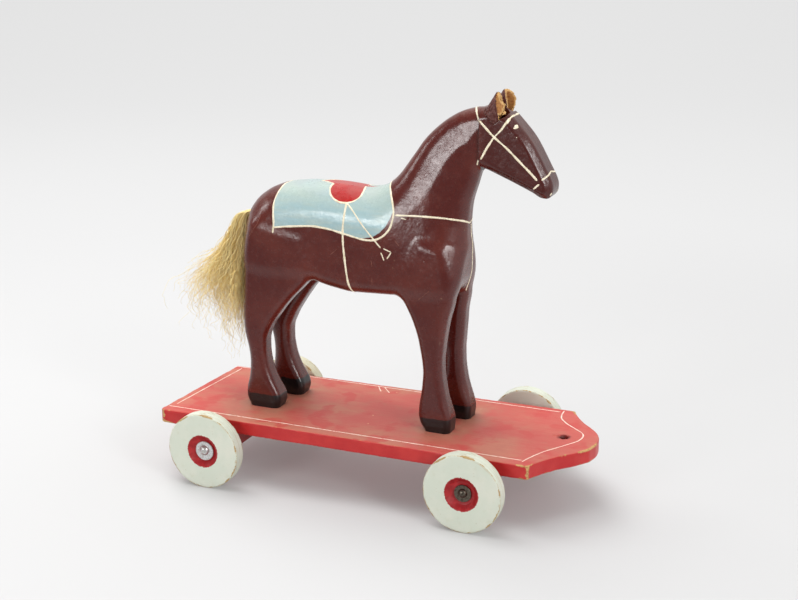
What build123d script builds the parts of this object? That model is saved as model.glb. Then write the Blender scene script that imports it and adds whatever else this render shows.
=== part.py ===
"""A painted wooden pull-along horse on a four-wheeled board.

Frame: +X is the way the toy is pulled, +Y is the horse's left, +Z is up. The origin is on the ground,
under the middle of the board. Sizes are in millimetres.

The horse is a three-layer lamination: a core board with the body and neck, and a thick board on each
side that carries that side's two legs. The head is a separate block dowelled to the neck. The ears are
rolled leather set in pockets, and the tail is a tuft of sisal held in its hole by a peg. The wheels turn
on round-head wood screws driven into the ends of two blocks under the board.
"""

import os
from math import cos, radians, sin, tan

from build123d import *

# --- running gear ---
WHEEL_R = 30.0
WHEEL_T = 11.2
WHEEL_GAP = 0.35  # between a wheel and the end of its block
WHEEL_EDGE = 1.2
AXLES = {"front": 90.7, "rear": -122.7}  # x of each axle
BLOCK_END = 68.5  # half the length of an axle block
BLOCK_W = 20.0
BLOCK_BOTTOM = 20.5
BLOCK_CHAMFER = 1.5
HUB_FACE_R = 12.5  # dished recess round the hub, at the wheel's outer face
HUB_FLOOR_R = 9.0
HUB_DEPTH = 4.2
WASHER_T = 1.0
WASHER_GAP = 0.15
RUNNING_GAP = 0.05  # radial, between a wheel's bore and its screw

# --- board ---
BOARD_REAR = -169.5  # at the right corner
BOARD_REAR_SKEW = 4.0  # the left rear corner is this much further forward
BOARD_REAR_TAPER = 4.5  # and this much further in
BOARD_SHOULDER = 134.2  # where the straight sides end
BOARD_TIP = 169.5
BOARD_HALF_W = 60.5
BOARD_T = 11.0
BOARD_BOTTOM = 40.5
DECK = BOARD_BOTTOM + BOARD_T
BOARD_CORNER_R = 3.0
BOARD_EDGE = 0.8  # worn-down top edge
TOW_X, TOW_Y = 141.5, 4.0
TOW_R = 3.25

# --- horse ---
CORE_HALF_T = 7.0
LEG_T = 18.7
LEG_INNER_Y = CORE_HALF_T + 0.3
LEG_Y = LEG_INNER_Y + LEG_T / 2
LEG_CORNER_R = 6.5
LEFT_AHEAD, LEFT_WIDER = 3.6, 1.8  # the left feet stand a little further forward and out
SHIFT_TOP_Z, SHIFT_FULL_Z = 168.0, 112.0  # between these heights the left legs ease over to their feet
TOP_ROUNDING = 0.8  # corner radius of the trunk's upper side, as a share of its half width
BELLY_R = 10.0
NECK_JOINT_X = 76.5  # the head is glued on here
HEAD_HALF_T = 12.5
HEAD_CHAMFER = 3.5
DOWEL_R = 4.0
DOWEL_LENGTH = 26.0
DOWEL_Z = 273.0

# --- ears: rolled leather in a slanting drilled pocket that breaks out of the head's side ---
EAR_FOOT = (82.5, 289.0)  # x and z of the middle of the pocket's floor
EAR_Y = 7.2
EAR_R = 6.4
EAR_T = 1.7
EAR_LENGTH = 30.0
EAR_LEAN = 33.0  # degrees forward from the upright
EAR_OPENING = 120.0  # degrees, the gap that faces forward
EAR_TURN = 15.0  # degrees that the gap is turned inward
EAR_TIP = (89.4, 310.0)  # x and z
EAR_FRONT = [(93.5, 308.4), (98.4, 303.0), (99.0, 295.0)]  # the cut front edge below the tip

# --- tail ---
TAIL_HOLE_R = 4.5
TAIL_HOLE_DEPTH = 16.0
TAIL_ROOT = (-118.0, 198.5)  # x and z where the hole's axis comes out
TAIL_RISE = 20.0  # degrees that the hole points up, to the rear
PEG_R = 1.6
PEG_LENGTH = 13.0
# Centre line and radius of the hanging tuft: x, z, radius, lean of the section from the upright.
TUFT = [
    (-127.5, 201.6, 5.6, 70.0),
    (-133.5, 194.5, 8.5, 40.0),
    (-137.0, 178.0, 11.5, 10.0),
    (-139.5, 158.0, 14.0, 5.0),
    (-142.5, 136.0, 17.0, 3.0),
    (-141.5, 118.0, 15.0, 0.0),
    (-136.5, 102.0, 7.0, 0.0),
]

# --- fasteners: head radius, head height, shank radius ---
REAR_SCREW = (4.1, 2.8, 2.1)
FRONT_SCREW = (3.5, 2.4, 1.75)
REAR_WASHER = (7.7, 2.75)  # outer and bore radius
FRONT_WASHER = (6.6, 2.1)
WHEEL_SCREW_GRIP = WASHER_T + WASHER_GAP + WHEEL_T - HUB_DEPTH + WHEEL_GAP
WHEEL_SCREW_BITE = 22.0
THREAD_PITCH = 2.0
THREAD_ROOT = 0.72  # root radius as a share of the crest radius
HOOF_SCREW = (3.8, 2.0)  # countersunk: head and shank radius
HOOF_SCREW_LENGTH = 36.0
BLOCK_SCREW = (3.4, 1.75)
BLOCK_SCREW_LENGTH = 26.0
BLOCK_SCREW_Y = 32.0

# Side view of a foreleg and a hind leg: height, rear edge, front edge.
FORELEG = [
    (DECK, 42.0, 60.0),
    (56.5, 35.6, 60.8),
    (63.0, 34.0, 60.6),
    (73.0, 34.8, 57.2),
    (90.0, 37.0, 53.4),
    (105.0, 37.2, 52.9),
    (120.0, 35.0, 54.0),
    (135.0, 30.4, 56.4),
    (150.0, 22.5, 60.0),
    (168.0, 16.0, 62.0),
    (190.0, 18.0, 58.0),
]
HIND_LEG = [
    (DECK, -107.5, -88.5),
    (56.5, -112.6, -84.4),
    (63.0, -113.2, -85.0),
    (73.0, -111.0, -90.6),
    (86.0, -110.2, -95.2),
    (98.0, -111.2, -96.6),
    (110.0, -113.8, -95.4),
    (121.0, -115.2, -89.6),
    (133.0, -114.0, -81.6),
    (145.0, -112.8, -71.6),
    (158.0, -112.6, -61.0),
    (185.0, -110.0, -59.0),
]
# Cross-sections of the trunk: x, underside, top line, half width.
TRUNK = [
    (-118.0, 176.0, 202.0, 9.0),
    (-114.5, 164.0, 211.0, 17.5),
    (-106.0, 158.5, 220.0, 23.0),
    (-91.0, 158.0, 228.0, 26.4),
    (-66.0, 159.5, 233.2, 27.0),
    (-38.0, 155.5, 233.8, 27.0),
    (-16.0, 152.8, 232.4, 27.0),
    (4.0, 154.5, 233.5, 27.0),
    (26.0, 156.5, 235.0, 27.0),
    (44.0, 157.0, 231.0, 26.6),
    (58.0, 158.5, 223.0, 22.5),
    (65.0, 163.0, 212.0, 16.0),
    (68.4, 171.0, 202.0, 9.0),
]
# Cross-sections of the neck: crest x and z, throat x and z, half width.
NECK = [
    ((-2.0, 229.0), (60.5, 188.0), 24.5),
    ((12.0, 247.0), (66.0, 213.0), 21.5),
    ((26.5, 268.0), (69.2, 229.0), 18.0),
    ((48.0, 286.5), (72.8, 240.5), 15.4),
    ((NECK_JOINT_X, 298.0), (NECK_JOINT_X, 251.0), 13.5),
]
# Side view of the head from the poll round the brow, muzzle and chin: corner, rounding radius.
HEAD_POLL_Z = 296.6
HEAD_THROAT_Z = 254.2
HEAD_CORNERS = [
    ((94.0, 296.4), 16.0),
    ((113.5, 278.0), 28.0),
    ((130.2, 251.0), 7.0),
    ((130.0, 236.8), 4.0),
    ((122.5, 236.2), 6.0),
]
HOOF_X = {"front": 50.0, "rear": -98.5}
SIDES = {"left": 1, "right": -1}

REACH = 400.0  # longer than the toy, for cutting tools

os.makedirs("parts", exist_ok=True)


def keep(part, name):
    """Labels a finished piece and writes its STEP file."""
    part.label = name
    export_step(part, f"parts/{name}.step")


def hub_plane(end, side):
    """The plane of an axle block's end, its Z pointing out of the toy along the axle."""
    return Plane(
        origin=(AXLES[end], SIDES[side] * BLOCK_END, WHEEL_R),
        x_dir=(1, 0, 0),
        z_dir=(0, SIDES[side], 0),
    )


def section_plane(seat):
    """The plane that holds a seat's axis: its X is the seat's X and its Y is the seat's Z."""
    return Plane(origin=seat.origin, x_dir=seat.x_dir, z_dir=-seat.y_dir)


def screw_body(shank_r, start, bite):
    """Corner points of a wood screw's half-section below its plain shank: threads, then the point."""
    root_r = shank_r * THREAD_ROOT
    points = [(shank_r, start)]
    turns = int((bite - 2 * shank_r) / THREAD_PITCH)
    for turn in range(turns):
        top = start - turn * THREAD_PITCH
        points += [(root_r, top - 0.4 * THREAD_PITCH), (shank_r, top - THREAD_PITCH)]
    points.append((0, start - bite))
    return points


def round_head_screw(seat, size, grip, bite, slot_turn):
    """A slotted round-head wood screw whose head sits on the seat plane and points along its Z."""
    head_r, head_h, shank_r = size
    with BuildPart(seat) as screw:
        with BuildSketch(section_plane(seat)):
            with BuildLine():
                crown = ThreePointArc((0, head_h), (head_r * 0.62, head_h * 0.78), (head_r, 0))
                Polyline(crown @ 1, (shank_r, 0), *screw_body(shank_r, -grip, bite), crown @ 0)
            make_face()
        revolve(axis=Axis(seat.origin, seat.z_dir))
        with Locations(Location((0, 0, head_h), (0, 0, slot_turn))):
            Box(head_r * 2.2, head_r * 0.26, head_h * 0.9, mode=Mode.SUBTRACT)
    return screw.part


def countersunk_screw(seat, size, length, plain):
    """A slotted countersunk wood screw whose flat head is flush with the seat plane."""
    head_r, shank_r = size
    cone = head_r - shank_r
    with BuildPart(seat) as screw:
        with BuildSketch(section_plane(seat)):
            with BuildLine():
                Polyline(
                    (0, 0),
                    (head_r, 0),
                    (shank_r, -cone),
                    *screw_body(shank_r, -plain, length - plain),
                    (0, 0),
                )
            make_face()
        revolve(axis=Axis(seat.origin, seat.z_dir))
        Box(head_r * 2.2, head_r * 0.26, head_r * 0.5, mode=Mode.SUBTRACT)
    return screw.part


def wheel(end, side):
    """A wheel with a dished hub recess on its outer face, bored to run on its screw."""
    shank_r = (FRONT_SCREW if end == "front" else REAR_SCREW)[2]
    base = hub_plane(end, side).offset(WHEEL_GAP)
    floor = WHEEL_T - HUB_DEPTH
    with BuildPart() as turned:
        with BuildSketch(section_plane(base)):
            with BuildLine():
                Polyline(
                    (shank_r + RUNNING_GAP, 0),
                    (WHEEL_R - WHEEL_EDGE, 0),
                    (WHEEL_R, WHEEL_EDGE),
                    (WHEEL_R, WHEEL_T - WHEEL_EDGE),
                    (WHEEL_R - WHEEL_EDGE, WHEEL_T),
                    (HUB_FACE_R, WHEEL_T),
                    (HUB_FLOOR_R, floor),
                    (shank_r + RUNNING_GAP, floor),
                    close=True,
                )
            make_face()
        revolve(axis=Axis(base.origin, base.z_dir))
    return turned.part


def washer(end, side):
    """A washer on the floor of the hub recess. Its bore is loose, so it hangs on the screw."""
    outer_r, bore_r = FRONT_WASHER if end == "front" else REAR_WASHER
    shank_r = (FRONT_SCREW if end == "front" else REAR_SCREW)[2]
    base = hub_plane(end, side).offset(WHEEL_GAP + WHEEL_T - HUB_DEPTH + WASHER_GAP)
    hang = bore_r - shank_r - RUNNING_GAP
    with BuildPart() as ring:
        with BuildSketch(Plane(base.origin - (0, 0, hang), x_dir=base.x_dir, z_dir=base.z_dir)):
            Circle(outer_r)
            Circle(bore_r, mode=Mode.SUBTRACT)
        extrude(amount=WASHER_T)
        chamfer(ring.edges().filter_by(GeomType.CIRCLE).sort_by(SortBy.RADIUS)[-2:], 0.15)
    return ring.part


def axle_block(end):
    """The bar under the board whose ends take the wheel screws."""
    shank_r = (FRONT_SCREW if end == "front" else REAR_SCREW)[2]
    height = BOARD_BOTTOM - BLOCK_BOTTOM
    underside = Plane(origin=(AXLES[end], 0, BLOCK_BOTTOM), x_dir=(1, 0, 0), z_dir=(0, 0, -1))
    with BuildPart() as block:
        with BuildSketch(Plane.XY.offset(BLOCK_BOTTOM)):
            with Locations((AXLES[end], 0)):
                Rectangle(BLOCK_W, 2 * BLOCK_END)
        extrude(amount=height)
        chamfer(block.faces().sort_by(Axis.Z)[0].edges().filter_by(Axis.Y), BLOCK_CHAMFER)
        for side in SIDES:
            with Locations(hub_plane(end, side)):
                Cylinder(
                    shank_r,
                    WHEEL_SCREW_BITE,
                    align=(Align.CENTER, Align.CENTER, Align.MAX),
                    mode=Mode.SUBTRACT,
                )
        with Locations(underside):
            with Locations((0, -BLOCK_SCREW_Y), (0, BLOCK_SCREW_Y)):
                CounterSinkHole(BLOCK_SCREW[1], BLOCK_SCREW[0], height, 90)
    return block.part


def block_screws(end):
    """The two countersunk screws that hold an axle block to the board."""
    height = BOARD_BOTTOM - BLOCK_BOTTOM
    screws = []
    for y in (-BLOCK_SCREW_Y, BLOCK_SCREW_Y):
        seat = Plane(origin=(AXLES[end], y, BLOCK_BOTTOM), x_dir=(1, 0, 0), z_dir=(0, 0, -1))
        screws.append(countersunk_screw(seat, BLOCK_SCREW, BLOCK_SCREW_LENGTH, height))
    return Compound(children=screws)


def leg_shift(side, z):
    """How far forward and outward a leg is set off at a height. Only the left legs are."""
    share = (SHIFT_TOP_Z - z) / (SHIFT_TOP_Z - SHIFT_FULL_Z) if side == "left" else 0.0
    share = min(max(share, 0.0), 1.0)
    return LEFT_AHEAD * share, LEFT_WIDER * share


def hoof_seat(end, side):
    """Where a hoof's screw goes into the board from below."""
    ahead, wider = leg_shift(side, DECK)
    return Plane(
        origin=(HOOF_X[end] + ahead, SIDES[side] * (LEG_Y + wider), BOARD_BOTTOM),
        x_dir=(1, 0, 0),
        z_dir=(0, 0, -1),
    )


# --- board: straight sides and tail end, and an ogee front with a tow hole ---
NOSE_JOIN = (154.5, 28.0)  # where the hollow of the ogee meets its round nose
with BuildPart() as board:
    with BuildSketch(Plane.XY.offset(BOARD_BOTTOM)):
        with BuildLine():
            Spline(
                (BOARD_SHOULDER, BOARD_HALF_W),
                (141.0, 44.5),
                NOSE_JOIN,
                tangents=[(0.35, -1), (1, -1.05)],
            )
            Spline(
                NOSE_JOIN,
                (164.0, 14.5),
                (BOARD_TIP, 0),
                tangents=[(1, -1.05), (0, -1)],
            )
            mirror(about=Plane.XZ)
            Polyline(
                (BOARD_SHOULDER, BOARD_HALF_W),
                (BOARD_REAR + BOARD_REAR_SKEW, BOARD_HALF_W - BOARD_REAR_TAPER),
                (BOARD_REAR, -BOARD_HALF_W),
                (BOARD_SHOULDER, -BOARD_HALF_W),
            )
        make_face()
    extrude(amount=BOARD_T)
    fillet(board.edges().filter_by(Axis.Z).sort_by(Axis.X)[:2], BOARD_CORNER_R)
    chamfer(board.faces().sort_by(Axis.Z)[-1].edges(), BOARD_EDGE)
    with Locations((TOW_X, TOW_Y, DECK)):
        Hole(TOW_R, BOARD_T)
    for hoof_end in AXLES:
        for hoof_side in SIDES:
            with Locations(hoof_seat(hoof_end, hoof_side)):
                CounterSinkHole(HOOF_SCREW[1], HOOF_SCREW[0], BOARD_T, 90)
    for axle_x in AXLES.values():
        with Locations((axle_x, -BLOCK_SCREW_Y, BOARD_BOTTOM), (axle_x, BLOCK_SCREW_Y, BOARD_BOTTOM)):
            Cylinder(
                BLOCK_SCREW[1],
                BLOCK_SCREW_LENGTH - (BOARD_BOTTOM - BLOCK_BOTTOM),
                align=(Align.CENTER, Align.CENTER, Align.MIN),
                mode=Mode.SUBTRACT,
            )
keep(board.part, "board")

# --- running gear ---
for axle_end in AXLES:
    keep(axle_block(axle_end), f"{axle_end}_axle_block")
    keep(block_screws(axle_end), f"{axle_end}_block_screws")
    screw_size = FRONT_SCREW if axle_end == "front" else REAR_SCREW
    for wheel_side in SIDES:
        stem = f"{axle_end}_{wheel_side}"
        head_seat = hub_plane(axle_end, wheel_side).offset(WHEEL_SCREW_GRIP)
        keep(wheel(axle_end, wheel_side), f"{stem}_wheel")
        keep(washer(axle_end, wheel_side), f"{stem}_washer")
        keep(
            round_head_screw(head_seat, screw_size, WHEEL_SCREW_GRIP, WHEEL_SCREW_BITE, 40),
            f"{stem}_wheel_screw",
        )

# --- the horse's carcass: trunk, neck and legs, before it is split into its three layers ---
with BuildPart() as trunk:
    for x, low, high, half_w in TRUNK:
        centre = Plane(origin=(x, 0, (low + high) / 2), x_dir=(0, 1, 0), z_dir=(1, 0, 0))
        with BuildSketch(centre) as section:
            Rectangle(2 * half_w, high - low)
            fillet(section.vertices().group_by(Axis.Y)[-1], half_w * TOP_ROUNDING)
            fillet(section.vertices().group_by(Axis.Y)[0], min(BELLY_R, half_w * TOP_ROUNDING))
    loft()

with BuildPart() as neck:
    for crest, throat, half_w in NECK:
        across = Vector(crest[0] - throat[0], 0, crest[1] - throat[1])
        middle = ((crest[0] + throat[0]) / 2, 0, (crest[1] + throat[1]) / 2)
        with BuildSketch(Plane(origin=middle, x_dir=(0, 1, 0), z_dir=Vector(0, 1, 0).cross(across))):
            RectangleRounded(2 * half_w, across.length, half_w * 0.85)
    loft()


def leg(outline, side):
    """One leg, lofted through its sections from the hoof's sole up into the trunk."""
    with BuildPart() as carved:
        for z, rear, front in outline:
            sole = z == DECK
            width = LEG_T - (4 if sole else 0)
            corner = LEG_CORNER_R - (2 if sole else 0)
            ahead, wider = leg_shift(side, z)
            with BuildSketch(Plane.XY.offset(z)):
                with Locations(((rear + front) / 2 + ahead, SIDES[side] * (LEG_Y + wider))):
                    RectangleRounded(front - rear, width, corner)
        loft()
    return carved.part


tail_plane = Plane(
    origin=(TAIL_ROOT[0], 0, TAIL_ROOT[1]),
    x_dir=(0, 1, 0),
    z_dir=(-1, 0, tan(radians(TAIL_RISE))),
)
dowel_plane = Plane(origin=(NECK_JOINT_X, 0, DOWEL_Z), x_dir=(0, 1, 0), z_dir=(1, 0, 0))

# --- core board of the lamination, with half of the dowel's hole and the tail's hole ---
with BuildPart() as core:
    add(trunk.part)
    add(neck.part)
    Box(
        2 * REACH,
        2 * CORE_HALF_T,
        REACH,
        align=(Align.CENTER, Align.CENTER, Align.MIN),
        mode=Mode.INTERSECT,
    )
    with Locations(dowel_plane):
        Cylinder(DOWEL_R, DOWEL_LENGTH, mode=Mode.SUBTRACT)
    with Locations(tail_plane):
        Cylinder(TAIL_HOLE_R, 2 * TAIL_HOLE_DEPTH, mode=Mode.SUBTRACT)
keep(core.part, "horse_core")

# --- the side boards of the lamination, each with its foreleg and hind leg ---
for board_side, sign in SIDES.items():
    with BuildPart() as flank:
        add(trunk.part)
        add(neck.part)
        add(leg(FORELEG, board_side))
        add(leg(HIND_LEG, board_side))
        with Locations((0, sign * CORE_HALF_T, 0)):
            Box(
                2 * REACH,
                REACH,
                REACH,
                align=(Align.CENTER, Align.MIN if sign > 0 else Align.MAX, Align.MIN),
                mode=Mode.INTERSECT,
            )
        for hoof_end in HOOF_X:
            with Locations(hoof_seat(hoof_end, board_side)):
                Cylinder(
                    HOOF_SCREW[1],
                    HOOF_SCREW_LENGTH,
                    align=(Align.CENTER, Align.CENTER, Align.MAX),
                    mode=Mode.SUBTRACT,
                )
    keep(flank.part, f"horse_{board_side}_side")

for hoof_end in HOOF_X:
    for hoof_side in SIDES:
        keep(
            countersunk_screw(hoof_seat(hoof_end, hoof_side), HOOF_SCREW, HOOF_SCREW_LENGTH, BOARD_T),
            f"{hoof_end}_{hoof_side}_hoof_screw",
        )


# --- ears ---
def ear_plane(side):
    """The floor of an ear's pocket, its Z along the pocket's slanting axis."""
    lean = radians(EAR_LEAN)
    return Plane(
        origin=(EAR_FOOT[0], SIDES[side] * EAR_Y, EAR_FOOT[1]),
        x_dir=(cos(lean), 0, -sin(lean)),
        z_dir=(sin(lean), 0, cos(lean)),
    )


def ear(side):
    """A rolled leather ear: an open tube standing in its pocket, cut to a leaf's outline."""
    inward = -SIDES[side] * EAR_TURN
    with BuildPart() as rolled:
        with BuildSketch(ear_plane(side)):
            Circle(EAR_R)
            Circle(EAR_R - EAR_T, mode=Mode.SUBTRACT)
            with BuildLine():
                lower = PolarLine((0, 0), 2 * EAR_R, inward - EAR_OPENING / 2)
                upper = PolarLine((0, 0), 2 * EAR_R, inward + EAR_OPENING / 2)
                Line(lower @ 1, upper @ 1)
            make_face(mode=Mode.SUBTRACT)
        extrude(amount=EAR_LENGTH)
        with BuildSketch(Plane.XZ):
            with BuildLine():
                cut = Spline(EAR_TIP, *EAR_FRONT)
                Polyline(
                    cut @ 1,
                    (EAR_FRONT[-1][0], EAR_FOOT[1] - EAR_R),
                    (NECK_JOINT_X, EAR_FOOT[1] - EAR_R),
                    (NECK_JOINT_X, EAR_TIP[1]),
                    cut @ 0,
                )
            make_face()
        extrude(amount=REACH, both=True, mode=Mode.INTERSECT)
    return rolled.part


for ear_side in SIDES:
    keep(ear(ear_side), f"{ear_side}_ear")

# --- head: a flat-sided block with its edges chamfered ---
with BuildPart() as head:
    with BuildSketch(Plane.XZ) as profile:
        with BuildLine():
            Polyline(
                (NECK_JOINT_X, HEAD_POLL_Z),
                *[corner for corner, _ in HEAD_CORNERS],
                (NECK_JOINT_X, HEAD_THROAT_Z),
                close=True,
            )
        make_face()
        for corner, radius in HEAD_CORNERS:
            fillet(profile.vertices().sort_by_distance(Vector(*corner))[0], radius)
    extrude(amount=HEAD_HALF_T, both=True)
    end_edges = head.faces().sort_by(Axis.X)[0].edges()
    chamfer(head.faces().filter_by(Axis.Y).edges() - end_edges, HEAD_CHAMFER)
    with Locations(dowel_plane):
        Cylinder(DOWEL_R, DOWEL_LENGTH, mode=Mode.SUBTRACT)
    for ear_side in SIDES:
        with Locations(ear_plane(ear_side)):
            Cylinder(EAR_R, REACH, align=(Align.CENTER, Align.CENTER, Align.MIN), mode=Mode.SUBTRACT)
keep(head.part, "horse_head")

with BuildPart(dowel_plane) as dowel:
    Cylinder(DOWEL_R, DOWEL_LENGTH)
keep(dowel.part, "head_dowel")

# --- tail: the tuft's root fills the hole round its peg ---
with BuildPart() as tuft:
    for x, z, radius, lean in TUFT:
        tilt = radians(lean)
        down = (-sin(tilt), 0, -cos(tilt))
        with BuildSketch(Plane(origin=(x, 0, z), x_dir=(0, 1, 0), z_dir=down)):
            Circle(radius)
    loft()
    with Locations(tail_plane):
        with Locations((0, 0, -TAIL_HOLE_DEPTH)):
            Cylinder(
                TAIL_HOLE_R,
                TAIL_HOLE_DEPTH + 14.0,
                align=(Align.CENTER, Align.CENTER, Align.MIN),
            )
            Cylinder(
                PEG_R,
                PEG_LENGTH,
                align=(Align.CENTER, Align.CENTER, Align.MIN),
                mode=Mode.SUBTRACT,
            )
keep(tuft.part, "tail")

with BuildPart(tail_plane.offset(-TAIL_HOLE_DEPTH)) as peg:
    Cylinder(PEG_R, PEG_LENGTH, align=(Align.CENTER, Align.CENTER, Align.MIN))
keep(peg.part, "tail_peg")
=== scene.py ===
from math import cos, pi, radians, sin

import bmesh
import bpy
import numpy as np
from mathutils import Matrix, Vector


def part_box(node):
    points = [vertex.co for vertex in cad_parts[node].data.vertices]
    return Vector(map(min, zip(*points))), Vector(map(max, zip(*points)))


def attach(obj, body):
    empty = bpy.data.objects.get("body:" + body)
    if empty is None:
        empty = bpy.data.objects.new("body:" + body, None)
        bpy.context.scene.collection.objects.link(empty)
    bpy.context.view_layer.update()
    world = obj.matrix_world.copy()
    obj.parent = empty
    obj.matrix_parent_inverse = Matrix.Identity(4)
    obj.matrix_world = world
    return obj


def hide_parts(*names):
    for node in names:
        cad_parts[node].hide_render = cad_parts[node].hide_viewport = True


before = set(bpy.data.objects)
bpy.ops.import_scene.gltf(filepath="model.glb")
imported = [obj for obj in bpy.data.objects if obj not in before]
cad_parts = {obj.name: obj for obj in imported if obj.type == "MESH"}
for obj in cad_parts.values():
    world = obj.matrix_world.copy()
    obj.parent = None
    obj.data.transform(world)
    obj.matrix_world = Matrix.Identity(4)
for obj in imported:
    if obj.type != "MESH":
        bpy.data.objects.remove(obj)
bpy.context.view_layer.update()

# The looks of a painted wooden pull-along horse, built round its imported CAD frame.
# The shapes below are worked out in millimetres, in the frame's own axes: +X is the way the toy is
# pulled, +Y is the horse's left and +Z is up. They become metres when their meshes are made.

MM = 0.001


def node_box(name):
    """A CAD node's lowest and highest corner in millimetres."""
    low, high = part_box(name)
    return np.array(low) / MM, np.array(high) / MM


BOARD_LOW, BOARD_HIGH = node_box("board")
HEAD_LOW, HEAD_HIGH = node_box("horse_head")
DECK = BOARD_HIGH[2]
CORE_HALF = node_box("horse_core")[1][1]
JOINT_X = HEAD_LOW[0]  # the head is glued on here
HEAD_HALF = HEAD_HIGH[1]
END_NAMES = ("front", "rear")
SIDE_NAMES = {"left": 1, "right": -1}


# ---- curves and signed distances


def smooth_path(corners, soften, closed=False, step=2.0):
    """A curve that runs near its corner points: the polyline is sampled, then blurred along itself."""
    points = np.array(corners, float)
    if closed:
        points = np.vstack([points, points[:1]])
    along = np.concatenate([[0], np.cumsum(np.linalg.norm(np.diff(points, axis=0), axis=1))])
    count = max(int(along[-1] / step), 8)
    at = np.linspace(0, along[-1], count + 1)
    dense = np.stack([np.interp(at, along, column) for column in points.T], axis=1)
    spacing = along[-1] / count
    reach = min(max(int(3 * soften / spacing), 1), count - 1)
    weight = np.exp(-0.5 * (np.arange(-reach, reach + 1) * spacing / soften) ** 2)
    weight /= weight.sum()
    if closed:
        ring = dense[:-1]
        padded = np.vstack([ring[-reach:], ring, ring[:reach]])
    else:
        start = 2 * dense[0] - dense[1 : reach + 1][::-1]
        end = 2 * dense[-1] - dense[-reach - 1 : -1][::-1]
        padded = np.vstack([start, dense, end])
    return np.stack([np.convolve(column, weight, "valid") for column in padded.T], axis=1)


def outline_distance(points, ring):
    """Signed distance from 2-D points to a closed ring, negative inside."""
    nearest = np.full(len(points), 1e18)
    inside = np.zeros(len(points), bool)
    for a, b in zip(ring, np.roll(ring, -1, axis=0)):
        edge = b - a
        if edge @ edge < 1e-12:
            continue
        t = np.clip((points - a) @ edge / (edge @ edge), 0, 1)
        gap = points - a - t[:, None] * edge
        nearest = np.minimum(nearest, (gap * gap).sum(1))
        crosses = (a[1] > points[:, 1]) != (b[1] > points[:, 1])
        if abs(edge[1]) > 1e-12:
            inside ^= crosses & (points[:, 0] < a[0] + (points[:, 1] - a[1]) / edge[1] * edge[0])
    return np.where(inside, -1, 1) * np.sqrt(nearest)


class Profile:
    """An outline's signed distance, kept on a fine grid and read by interpolation."""

    STEP = 0.8

    def __init__(self, ring, margin):
        self.low = ring.min(0) - margin
        size = np.ceil((ring.max(0) + margin - self.low) / self.STEP).astype(int) + 1
        us = self.low[0] + self.STEP * np.arange(size[0])
        vs = self.low[1] + self.STEP * np.arange(size[1])
        grid = np.stack(np.meshgrid(us, vs, indexing="ij"), axis=-1).reshape(-1, 2)
        self.values = outline_distance(grid, ring).reshape(size)

    def __call__(self, across, up):
        size = self.values.shape
        u = np.clip((across - self.low[0]) / self.STEP, 0, size[0] - 1.001)
        v = np.clip((up - self.low[1]) / self.STEP, 0, size[1] - 1.001)
        i, j = u.astype(int), v.astype(int)
        u, v = u - i, v - j
        table = self.values
        near = table[i, j] * (1 - v) + table[i, j + 1] * v
        far = table[i + 1, j] * (1 - v) + table[i + 1, j + 1] * v
        return near * (1 - u) + far * u


def smooth_step(low, high, value):
    t = np.clip((value - low) / (high - low), 0, 1)
    return t * t * (3 - 2 * t)


def smooth_union(a, b, width):
    h = np.clip(0.5 + 0.5 * (b - a) / width, 0, 1)
    return b * (1 - h) + a * h - width * h * (1 - h)


def round_slab(in_outline, across, radius):
    """An outline given thickness, its edges rounded to the radius."""
    u, v = in_outline + radius, across + radius
    return np.hypot(np.maximum(u, 0), np.maximum(v, 0)) + np.minimum(np.maximum(u, v), 0) - radius


def bevel_slab(in_outline, across, bevel, soften):
    """An outline given thickness, its edges cut at 45 degrees and a little softened."""
    slope = (in_outline + across + bevel) * np.sqrt(0.5)
    return -smooth_union(-slope, -np.maximum(in_outline, across), soften)


class Waves:
    """Smooth seeded noise between about -1 and 1: a sum of plane waves of one size."""

    def __init__(self, seed, size, count=24):
        rng = np.random.default_rng(seed)
        direction = rng.normal(size=(count, 3))
        direction /= np.linalg.norm(direction, axis=1)[:, None]
        self.way = direction * 2 * pi / size * rng.uniform(0.6, 1.5, (count, 1))
        self.phase = rng.uniform(0, 2 * pi, count)

    def __call__(self, points):
        return np.sin(points @ self.way.T + self.phase).sum(1) / np.sqrt(len(self.phase))


# ---- meshes out of signed distances


def slope_of(shape, points, reach=0.3):
    """How fast a shape's signed distance grows along each axis."""
    slope = np.zeros_like(points)
    for k, offset in enumerate(reach * np.eye(3)):
        slope[:, k] = (shape(points + offset) - shape(points - offset)) / (2 * reach)
    return slope


def unit(vectors):
    return vectors / np.maximum(np.linalg.norm(vectors, axis=1), 1e-9)[:, None]


def onto(shape, points, rounds=3, stride=1.0):
    """Points moved onto a shape's surface."""
    for _ in range(rounds):
        slope = slope_of(shape, points)
        steepness = np.maximum((slope * slope).sum(1), 0.05)
        shift = (shape(points) / steepness)[:, None] * slope
        reach = np.linalg.norm(shift, axis=1)
        points = points - shift * np.minimum(1, stride / np.maximum(reach, 1e-9))[:, None]
    return points


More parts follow.
